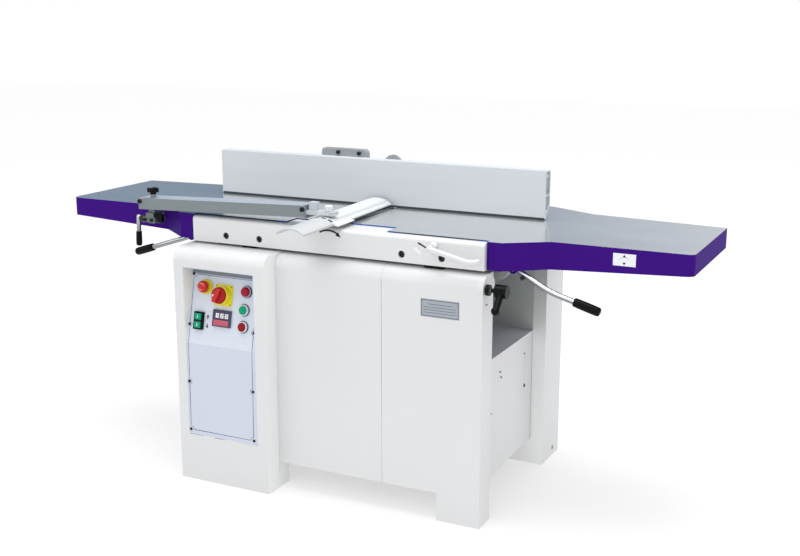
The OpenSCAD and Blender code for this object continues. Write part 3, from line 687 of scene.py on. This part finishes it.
def triangle(name, cx, cz, s, up_down, matrix, mat, body, n=0.3):
    v = [(cx - s, -n, cz - up_down * s * 0.6), (cx + s, -n, cz - up_down * s * 0.6), (cx, -n, cz + up_down * s)]
    o = piece(name, v, [(0, 1, 2)], mat, body, smooth=False, matrix=matrix)
    m = o.modifiers.new("body", "SOLIDIFY")
    m.thickness = 0.2 * MM
    m.offset = 0
    return o


for nm, dz, ud in (("up", 14, 1), ("down", -14, -1)):
    triangle(f"{nm}_sign_head", 29.8, dz + ud * 3.5, 4.6, ud, lf, ink, "cabinet")
    block(f"{nm}_sign_stem", 28.2, 31.4, -0.45, 0.1, dz - 7 if ud > 0 else dz - 1, dz + 1 if ud > 0 else dz + 7, ink, "cabinet", 0.0, matrix=lf)

# thickness readout: three digit windows over a red field
rd = on_plate(-354, 89.5)
SEG = {"a": (0, 1), "g": (0, 0), "d": (0, -1)}
DIGIT = {"0": "abcdef", "1": "bc", "2": "abged"}


def digit(name, ch, cx, cz, matrix):
    w, h = 2.0, 4.0
    for s in DIGIT[ch]:
        if s in SEG:
            z = cz + SEG[s][1] * h
            block(f"{name}_{s}", cx - w, cx + w, -5.95, -5.6, z - 0.5, z + 0.5, ink, "cabinet", 0.0, matrix=matrix)
        else:
            x = cx + (w if s in "bc" else -w)
            z0 = cz if s in "bf" else cz - h
            block(f"{name}_{s}", x - 0.5, x + 0.5, -5.95, -5.6, z0, z0 + h, ink, "cabinet", 0.0, matrix=matrix)


for i, ch in enumerate("120"):
    cx = -17 + 17 * i
    block(f"readout_window_{i + 1}", cx - 6.2, cx + 6.2, -5.7, -4.8, 0.5, 15.5, window, "cabinet", 0.3, matrix=rd)
    digit(f"readout_digit_{i + 1}", ch, cx, 8, rd)
block("readout_field", -27.5, 27.5, -8.5, -7.9, -22.5, -5.5, pink, "cabinet", 0.2, matrix=rd)
for i in range(9):
    block(f"readout_tick_{i + 1}", -24.4 + 6 * i, -23.6 + 6 * i, -8.75, -8.4, -21, -21 + (9 if i % 2 == 0 else 5), label_red, "cabinet", 0.0, matrix=rd)

# ---- cabinet details -------------------------------------------------------------
block("rating_plate", 309, 429.4, -340.9, -339.9, 624, 676.5, grey_plate, "cabinet", 0.3)
bx = [(312, 627), (426.4, 627), (426.4, 673.5), (312, 673.5), (312, 627)]
for i, (a, b) in enumerate(zip(bx, bx[1:])):
    x0, x1, z0, z1 = min(a[0], b[0]) - 0.7, max(a[0], b[0]) + 0.7, min(a[1], b[1]) - 0.7, max(a[1], b[1]) + 0.7
    block(f"rating_plate_frame_{i + 1}", x0, x1, -341.1, -340.7, z0, z1, dark_trim_and_painted_shadow, "cabinet", 0.0)
for i, (x0, x1, z) in enumerate(((330, 408, 662), (318, 420, 653), (318, 420, 645), (318, 420, 637))):
    block(f"rating_plate_rule_{i + 1}", x0, x1, -341.1, -340.7, z - 0.5, z + 0.5, dark_trim_and_painted_shadow, "cabinet", 0.0)
for i, (x, z) in enumerate(((314.5, 668), (424, 668))):
    disc(f"rating_plate_rivet_{i + 1}", 1.8, 1.6, (x, -340.6, z), OUT, chrome_painted_reflection, "cabinet", 0.8, 20)
for i, (y, z, k) in enumerate(((-83, 401, 0.55), (-74, 382, 0.6), (128, 402, 0.5), (133, 293, 1.2), (-155, 289, 0.75))):
    lathe(f"side_screw_{i + 1}", [(0, 0), (5.2 * k, 0), (5.0 * k, 1.4), (3.6 * k, 2.8), (1.8 * k, 3.0), (1.6 * k, 1.6), (0, 1.6)], (456, y, z), (1, 0, 0), dark_steel, "cabinet", 24)
# painted shade: a grey line on the side panel stands in for the shade in a pressed crease
block("side_crease_painted_shade", 455.9, 456.15, 130.2, 131.2, 312, 396, grey_plate, "cabinet", 0.0)
block("side_slot_mark", 499.6, 500.3, -318, -304, 669, 674, dark_steel, "cabinet", 0.2)
for i, (x, z) in enumerate(((-455, 120), (-455, 420), (-455, 720), (440, 120), (440, 420), (440, 720), (0, 120), (0, 740))):
    lathe(f"rear_screw_{i + 1}", [(0, 0), (5.2, 0), (5.0, 1.4), (3.6, 2.8), (1.8, 3.0), (1.6, 1.6), (0, 1.6)], (x, 364, z), (0, 1, 0), dark_steel, "cabinet", 24)

block("cheek_joint_fill", 452.6, 456.1, 203.3, 205.2, 460.3, 755, inner_white_painted_shade, "cabinet", 0.0)
block("pillar_joint_fill", -183.2, -181.6, -340.9, -339.7, 42, 712, white, "cabinet", 0.0)
fill = arc(-295, 713, 45.25, 180, 90, 14)
v = [(x, y, z) for x in (180.0, 183.0) for y, z in fill] + [(x, -262.6, 758.25) for x in (180.0, 183.0)]
n = len(fill)
f = [(i, i + 1, n + i + 1, n + i) for i in range(n - 1)] + [(n - 1, 2 * n, 2 * n + 1, 2 * n - 1)]
o = piece("panel_joint_fill", v, f, white, "cabinet", angle=60)
m = o.modifiers.new("body", "SOLIDIFY")
m.thickness = 0.4 * MM
m.offset = 0
block("rear_foot_slot_mark", 499.6, 500.3, 300, 312, 20, 34, dark_steel, "cabinet", 0.2)

# ---- front rail ----------------------------------------------------------------------
for i, x in enumerate((-375, -253, 234, 361)):
    lathe(f"rail_bolt_{i + 1}", [(0, -6), (10.1, -6), (10.1, 3.2), (9.4, 4.0), (5.2, 4.2), (5.0, 1.2), (0, 1.0)], (x, -307, 792), OUT, black_parts_and_painted_shade, "table_unit", 32)


def rail_place(u, v, n):
    return Vector((u, -314 - n, v))


turn_pts = arc(-8, 783.5, 58, 121, 57, 16)
strip("turning_arrow", [(p[0] * 1.0, p[1]) for p in turn_pts], 5.0, rail_place, ink, "table_unit", 0.2)
ex, ez = turn_pts[-1]
v = [rail_place(ex + 1.5, ez + 6.6, 0.2), rail_place(ex + 10.5, ez - 9.0, 0.2), rail_place(ex - 7.5, ez - 4.6, 0.2)]
o = piece("turning_arrow_head", v, [(0, 1, 2)], ink, "table_unit", smooth=False)
m = o.modifiers.new("body", "SOLIDIFY")
m.thickness = 0.2 * MM
m.offset = 0

# painted shade: black blocks fill the gaps between the rail and the tables, standing in for the shade in them
for nm, x0, x1 in (("left", -497, -174), ("right", 174, 491)):
    block(f"rail_gap_painted_shade_{nm}", x0, x1, -283.9, -282.1, 838, 845, black_parts_and_painted_shade, "table_unit", 0.0)

extrude("depth_slot_back", [(285.7, 827.9), (288.0, 833.2), (313.4, 821.0), (311.1, 815.8)], lambda u, v, w: Vector((u, w, v)), -309.4, -308.4, ink, "table_unit")

# depth scale: a small slanted label with tick marks under the slot
c0, da = Vector((288, 0, 811)), math.radians(-31)
ux, uz = Vector((math.cos(da), 0, math.sin(da))), Vector((-math.sin(da), 0, math.cos(da)))


def scale_place(u, v, n):
    p = c0 + ux * u + uz * v
    return Vector((p.x, -314 - n, p.z))


sc = [(-13, -10), (13, -10), (13, 8), (-13, 8)]
extrude("depth_scale_label", sc, scale_place, -0.05, 0.35, label_white, "table_unit")
for i in range(7):
    u = -10.5 + 3.5 * i
    strip(f"depth_scale_tick_{i + 1}", [(u, 6.5), (u, 1.5 if i % 3 == 0 else 3.5)], 0.8, scale_place, label_red if i % 3 else ink, "table_unit", 0.5)

# depth lever: one bent white bar
o = tube("depth_lever_bar", [(338, -318, 826.5), (335.5, -346, 823.8), (352, -348, 820.3), (430, -350, 802.6), (452, -350, 797.2), (470, -346, 796.0), (481, -338.5, 798.6)], 7.6, white, "depth", 16)
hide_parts("depth_lever")
disc("depth_lever_hub", 11, 22, (339, -314.6, 827), OUT, white, "depth", 2.0, 40)

# ---- lock levers ------------------------------------------------------------------------
o = tube("right_lever_rod", [(558, -245, 770), (648, -245, 719.5), (678, -245, 707.5), (745, -245, 688.3)], 8.2, chrome_painted_reflection, "right_lock", 34, 28)
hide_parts("right_lock_lever")
disc("right_lever_hub", 13, 26, (558, -232, 770), OUT, dark_steel, "right_lock", 1.5, 40)
disc("right_lever_pin", 6, 42, (558, -224, 770), OUT, steel, "right_lock", 1.0, 32)
disc("right_lever_pinch_bolt", 6, 12, (580, -252, 750), (0.52, 0, -0.85), black_parts_and_painted_shade, "right_lock", 1.5, 24)


def lever_grip(name, a, b, r, body, node):
    a, b = Vector(a), Vector(b)
    l = (b - a).length
    prof = [(8.3, 0), (r - 2.2, 0), (r - 0.6, 1.5), (r - 0.4, 8), (r, 14), (r + 0.3, l * 0.5), (r, l - 10), (r - 0.8, l - 4), (r - 3.2, l - 0.8), (r - 5.5, l), (0, l)]
    o = lathe(name, prof, a, b - a, black_rubber, body, 48, angle=45)
    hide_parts(node)
    return o


lever_grip("right_grip", (734, -245, 691.5), (810, -245, 669.3), 13.2, "right_lock", "right_lever_grip")
lever_grip("left_grip", (-713, -245, 712.8), (-784, -245, 689.9), 12.8, "left_lock", "left_lever_grip")

# ---- fence -----------------------------------------------------------------------------------
bp_ = arc(-281 + 16, 930 + 16, 16, 180, 270, 8) + arc(-109 - 16, 930 + 16, 16, 270, 360, 8) + arc(-109 - 14, 1026 - 14, 14, 0, 90, 8) + arc(-281 + 14, 1026 - 14, 14, 90, 180, 8)
o = extrude("fence_bracket", bp_, lambda u, v, w: Vector((u, w, v)), 122, 146, alloy, "fence_unit", 3.0, 3)
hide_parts("fence_backplate")
disc("fence_stop_boss", 30, 16, (-14, 122, 985), (0, 1, 0), alloy, "fence_unit", 4.0, 56)
for i, x in enumerate((-216, -137)):
    lathe(f"fence_bracket_screw_{i + 1}", [(0, -3), (6.5, -3), (6.5, 6), (5.6, 7.2), (3.2, 7.4), (3.0, 4), (0, 4)], (x, 122, 1013), OUT, black_parts_and_painted_shade, "fence_unit", 32)
    lathe(f"fence_bracket_rear_screw_{i + 1}", [(0, -3), (8.5, -3), (8.5, 6), (7.6, 7.2), (4.2, 7.4), (4.0, 3), (0, 3)], (x, 146, 965), (0, 1, 0), black_parts_and_painted_shade, "fence_unit", 32)

# the hollow ends of the fence are closed with grey caps, set back a little, with a screw at the top and at the foot
cap = [(83.6, 859), (118.4, 894), (118.4, 997), (83.6, 997)]
for side, x0, x1, d in (("left", -655.6, -653.0, -1), ("right", 523.2, 525.8, 1)):
    extrude(f"fence_{side}_cap", cap, lambda u, v, w: Vector((w, u, v)), x0, x1, cap_grey, "fence_unit", 0.6)
    extrude(f"fence_{side}_foot_cap", [(84.4, 861.6), (117.6, 894.3), (117.6, 921.6), (84.4, 921.6)], lambda u, v, w: Vector((w, u, v)), x0 + 1.0 * d, x1 + 1.0 * d, cap_grey, "fence_unit", 0.4)
    for i, (y, z) in enumerate(((100, 984), (91, 876))):
        disc(f"fence_{side}_cap_screw_{i + 1}", 4.6, 1.4, ((x1 if d > 0 else x0) + 1.0 * d * i, y, z), (d, 0, 0), label_white, "fence_unit", 0.5, 28)
    block(f"fence_{side}_cap_line", x1 - 0.1 if d > 0 else x0 - 0.25, x1 + 0.25 if d > 0 else x0 + 0.1, 84, 118, 937, 939.5, dark_alloy, "fence_unit", 0.0)
# painted shadow: a dark strip along the fence's foot stands in for the shade of the gap under it
block("fence_foot_painted_shadow_strip", -654, 526.5, 79.4, 92, 850.9, 857.2, fence_foot_shadow_grey, "fence_unit", 0.8)

# ---- guard -----------------------------------------------------------------------------------
GA = math.radians(2.05)
ARM = Matrix.Translation((-665, -300, 834)) @ Matrix.Rotation(-GA, 4, "Y")


def guard_outline(r, cx, cz, half, thick, lip):
    a = math.degrees(math.asin(half / r))
    top = arc(cx, cz, r, 90 + a, 90 - a, 28)
    ri = r - thick
    b = math.degrees(math.asin(min(0.99, half / ri)))
    bottom = arc(cx, cz, ri, 90 - b, 90 + b, 28)
    return top + lip + bottom


TURN = Matrix.Translation((-25, -300, 0)) @ Matrix.Rotation(math.radians(2.3), 4, "Z") @ Matrix.Translation((25, 300, 0))


def guard_place(u, v, w):
    return TURN @ Vector((u, w, v))


rear = guard_outline(82, -25, 800, 50, 3.6, [])
o = extrude("guard_rear_blade", rear, guard_place, -338, 62, guard_white, "guard", 0.5, 2, 50)
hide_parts("guard_bridge")
# short flat lip at the front of the rear blade
extrude("guard_front_lip", [(22.6, 866.6), (26.5, 863.8), (36.5, 861.6), (36.5, 859.2), (26.4, 861.0), (21.8, 863.4)], guard_place, -338, -228, guard_white, "guard", 0.5)
nose = guard_outline(72, -19.5, 812, 44, 5.6, [])
o = extrude("guard_nose_blade", nose, guard_place, -527, -338.8, guard_grey, "guard", 1.6, 3, 50)
seam = arc(-25, 800, 82.3, 126, 54, 24)
strip("guard_seam", seam, 0.2, lambda u, v, n: guard_place(u, v, -338.6), ink, "guard", 0)
for i in range(4):
    a = 123 - 18 * i
    p = arc(-19.5, 812, 72.5, a, a - 11, 4)
    extrude(f"guard_seam_tab_{i + 1}", p + list(reversed(arc(-19.5, 812, 71.0, a, a - 11, 4))), guard_place, -347.5, -338.0, ink, "guard")
# two pressed ridges run along the rear blade
for i, (ang, h) in enumerate(((66, 1.4), (62, 1.4))):
    p = arc(-25, 800, 82 + h, ang + 1.4, ang - 0.4, 4) + list(reversed(arc(-25, 800, 81.5, ang + 1.4, ang - 0.4, 4)))
    extrude(f"guard_ridge_{i + 1}", p, guard_place, -336, 61.5, guard_white, "guard")

for nm, x, z in (("left", -31, 45.5), ("right", 576, 44.5)):
    lathe(f"arm_{nm}_washer", [(0, 0), (10.5, 0), (10.5, 1.4), (9.8, 2.0), (0, 2.0)], (x, -20, z), OUT, alloy, "guard_beam", 36, matrix=ARM)
    lathe(f"arm_{nm}_screw", [(0, 1), (8, 1), (8, 5.4), (7.0, 7.0), (4, 7.2), (3.8, 3.4), (0, 3.4)], (x, -20, z), OUT, black_parts_and_painted_shade, "guard_beam", 36, matrix=ARM)
block("arm_left_cap", -40.4, -37.6, -20.5, 45.5, 19.2, 56, dark_alloy, "guard_beam", 1.0, matrix=ARM)
block("arm_right_cap", 577.6, 585.2, -20.8, 45.8, 17.4, 57.6, arm_grey_painted_top_light, "guard_beam", 1.2, matrix=ARM)
for i, (x, z) in enumerate(((-684, 819), (-658, 819), (-634, 820))):
    lathe(f"guard_bracket_bolt_{i + 1}", [(0, -2), (6, -2), (6, 4), (5, 5), (2.8, 5), (2.6, 2), (0, 2)], (x, -318, z), OUT, black_parts_and_painted_shade, "table_unit", 28)
block("guard_bracket_clamp", -644, -616, -320.5, -306, 813, 839, black, "table_unit", 3.0, 3)
# white holder: knob and the ribs of the clamp plate
kn = []
for i in range(24):
    a = 2 * math.pi * i / 24
    r = 12.6 if i % 2 else 11.8
    kn.append((r * math.cos(a), r * math.sin(a)))
extrude("guard_holder_knob", kn, lambda u, v, w: Vector((u - 13, -300 + v, w)), 897.5, 913, plastic_white, "guard_beam", 1.2, 3, 25)
for i in range(6):
    block(f"guard_clamp_rib_{i + 1}", -40 + 6.5 * i, -37 + 6.5 * i, -319.4, -317.6, 886.5, 894.5, plastic_white, "guard_beam", 0.5)

# crank: dark hub, chrome rod, black grip
o = tube("crank_rod", [(-743, -276, 817), (-743, -279, 762)], 7.4, chrome_painted_reflection, "crank", 4, 28)
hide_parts("guard_crank")
disc("crank_hub", 11.2, 20, (-714, -276, 812), (-1, 0, 0), black_parts_and_painted_shade, "crank", 2.0, 36)
disc("crank_shaft", 6, 52, (-687, -276, 812), (-1, 0, 0), steel, "crank", 0.8, 28)
lathe("crank_grip", [(0, 0), (8.6, 0), (9.4, 1.2), (9.6, 10), (10.0, 24), (9.8, 40), (8.8, 45), (6.5, 47.2), (0, 47.6)], (-743, -278.5, 769), (0, -2.2, -46), black_rubber, "crank", 40)

# painted edges of the tables, above the rail that sits a little lower
block("infeed_edge_front", 24, 173.2, -220.9, -220.1, 846.9, 850.0, edge_blue, "infeed", 0.0)
for i, (x0, x1, m) in enumerate(((174.3, 204, edge_blue), (204, 462, edge_dark), (462, 493.6, edge_blue))):
    block(f"infeed_edge_rail_{i + 1}", x0, x1, -281.9, -281.1, 846.9, 850.0, m, "infeed", 0.0)
block("outfeed_edge_rail_1", -499, -204, -281.9, -281.1, 846.9, 850.0, edge_dark, "table_unit", 0.0)
block("outfeed_edge_rail_2", -204, -174.3, -281.9, -281.1, 846.9, 850.0, edge_blue, "table_unit", 0.0)

# ---- lock lever at the right: bolt in the disc ----------------------------------------------
lathe("lock_disc_bolt", [(0, 0), (7, 0), (7, 3), (6, 4), (0, 4)], (514, -320, 717), (1, 0, 0), steel, "table_lock", 6)
ring("lock_hub_rim", 9, 16.2, 2.2, (562, -320, 717), (1, 0, 0), black_parts_and_painted_shade, "table_lock", 0.8)
ring("lock_shaft_ring", 6.2, 10.5, 1.6, (500.1, -320, 717), (1, 0, 0), steel, "cabinet", 0.5)

# ---- table label and table details -----------------------------------------------------------
block("table_label", 832.5, 896, -221.5, -220.9, 801.5, 836, label_white, "infeed", 0.2)
lab = Matrix.Translation((864, -221.5, 818.7))
triangle("table_label_up", 0, 10, 4.4, 1, lab, ink, "infeed", 0.25)
triangle("table_label_down", 0, -10, 4.4, -1, lab, ink, "infeed", 0.25)
arc_up = arc(0, -6, 14, 150, 30, 10)
strip("table_label_curve", arc_up, 0.7, lambda u, v, n: Vector((864 + u, -221.5 - n, 818.7 + v)), grey_plate, "infeed", 0.2)

# ---- stage ------------------------------------------------------------------
fm = bpy.data.meshes.new("floor")
fm.from_pydata([(-14, -14, -0.0008), (14, -14, -0.0008), (14, 14, -0.0008), (-14, 14, -0.0008)], [], [(0, 1, 2, 3)])
floor = bpy.data.objects.new("floor", fm)
bpy.context.scene.collection.objects.link(floor)
floor.data.materials.append(material("floor_white", srgb(180, 180, 180), 0.8, emit=1.19, spec=0.0))

world = bpy.data.worlds.new("studio")
bpy.context.scene.world = world
world.use_nodes = True
wt = world.node_tree
wc = wt.nodes.new("ShaderNodeTexCoord")
wd = wt.nodes.new("ShaderNodeVectorMath")
wd.operation = "DOT_PRODUCT"
wd.inputs[1].default_value = Vector((-0.643, 0.766, 0.16)).normalized()
wt.links.new(wc.outputs["Generated"], wd.inputs[0])
wm = wt.nodes.new("ShaderNodeMapRange")
wm.inputs["From Min"].default_value = 0.785
wm.inputs["From Max"].default_value = 0.985
wt.links.new(wd.outputs["Value"], wm.inputs["Value"])
ws = wt.nodes.new("ShaderNodeSeparateXYZ")
wt.links.new(wc.outputs["Generated"], ws.inputs["Vector"])
wz = wt.nodes.new("ShaderNodeMapRange")
wz.inputs["From Min"].default_value = 0.02
wz.inputs["From Max"].default_value = 0.07
wt.links.new(ws.outputs["Z"], wz.inputs["Value"])
wp = wt.nodes.new("ShaderNodeMath")
wp.operation = "MULTIPLY"
wt.links.new(wm.outputs["Result"], wp.inputs[0])
wt.links.new(wz.outputs["Result"], wp.inputs[1])
wl = wt.nodes.new("ShaderNodeLightPath")
wi = wt.nodes.new("ShaderNodeMath")
wi.operation = "SUBTRACT"
wi.inputs[0].default_value = 1.0
wt.links.new(wl.outputs["Is Camera Ray"], wi.inputs[1])
wq = wt.nodes.new("ShaderNodeMath")
wq.operation = "MULTIPLY"
wt.links.new(wp.outputs["Value"], wq.inputs[0])
wt.links.new(wi.outputs["Value"], wq.inputs[1])
wx = wt.nodes.new("ShaderNodeMix")
wx.data_type = "RGBA"
wt.links.new(wq.outputs["Value"], wx.inputs[0])
wx.inputs[6].default_value = (1.0, 1.0, 1.0, 1.0)
wx.inputs[7].default_value = (0.10, 0.19, 0.29, 1.0)
wt.links.new(wx.outputs[2], wt.nodes["Background"].inputs["Color"])
world.node_tree.nodes["Background"].inputs["Strength"].default_value = 1.0


def area(name, loc, target, size, power, colour=(1, 1, 1)):
    d = bpy.data.lights.new(name, "AREA")
    d.shape = "RECTANGLE"
    d.size, d.size_y = size
    d.energy = power
    d.color = colour
    o = bpy.data.objects.new(name, d)
    bpy.context.scene.collection.objects.link(o)
    o.location = loc
    o.rotation_euler = (Vector(target) - Vector(loc)).to_track_quat("-Z", "Y").to_euler()
    return o


area("key", (0.6, -4.8, 3.0), (0, 0, 0.6), (2.2, 2.2), 10)
area("top", (0.2, -0.2, 4.4), (0, 0, 0.8), (3.4, 2.6), 110)

cam_data = bpy.data.cameras.new("camera")
cam_data.lens = 52.55
cam_data.sensor_width = 36.0
cam_data.sensor_fit = "HORIZONTAL"
cam_data.clip_end = 100.0
camera = bpy.data.objects.new("camera", cam_data)
bpy.context.scene.collection.objects.link(camera)
camera.location = (1.69555, -3.26685, 1.50547)
camera.rotation_euler = (math.radians(90 - 13.38), 0.0, math.radians(26.4))
bpy.context.scene.camera = camera
bpy.context.scene.view_settings.view_transform = "Standard"
